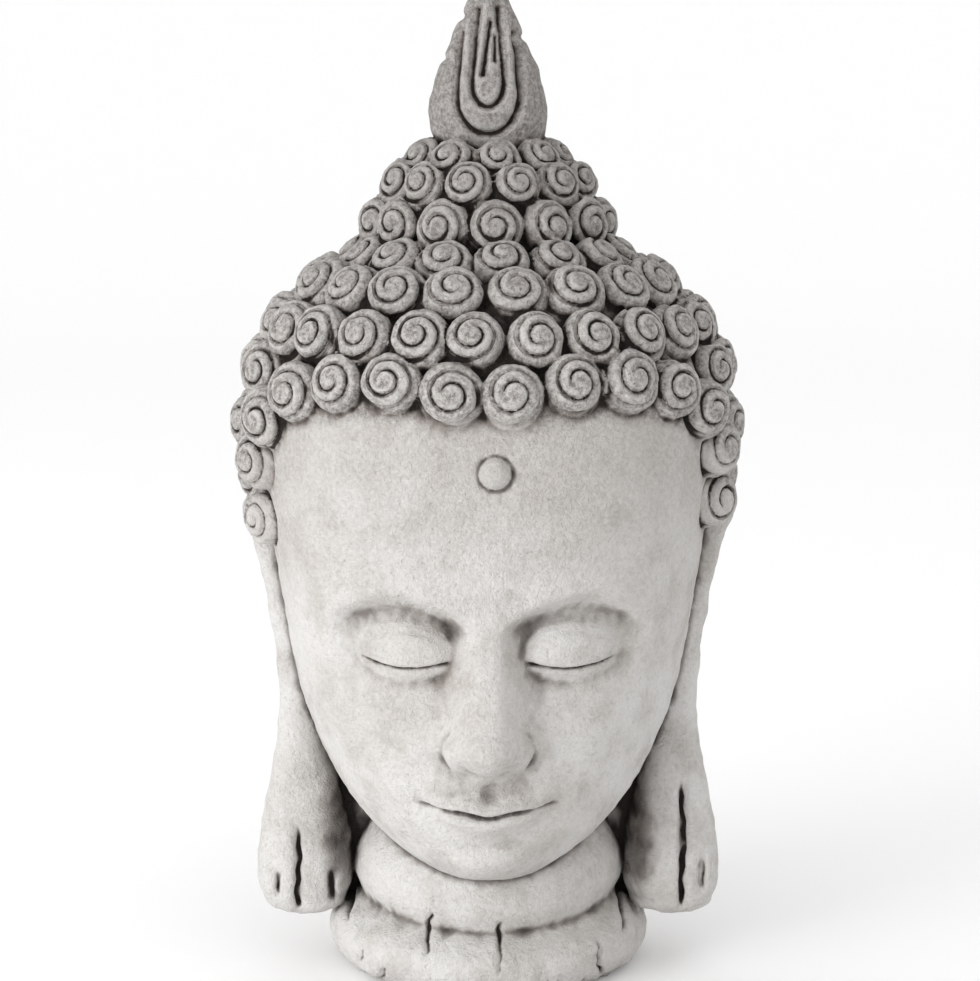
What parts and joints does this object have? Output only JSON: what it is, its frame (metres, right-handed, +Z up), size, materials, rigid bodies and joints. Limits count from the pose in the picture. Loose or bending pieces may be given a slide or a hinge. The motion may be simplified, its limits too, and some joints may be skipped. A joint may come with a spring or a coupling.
{
  "type": "stone buddha head",
  "caption": "Cast stone garden buddha head with snail-shell curls, raised crown, flame finial, long ears and a flared neck ring that it stands on.",
  "frame": {"origin": "centre of the bounding box, at the flat underside of the neck ring", "axes": "+Z up along the head to the flame's tip, -Y the way the face looks, +X to the right of a viewer facing it"},
  "size_m": [0.2232, 0.2316, 0.44],
  "materials": {
    "cast_stone": "matt, sandy, pitted"
  },
  "bodies": {
    "root": {"buddha_head": "cast_stone"}
  },
  "joints": []
}
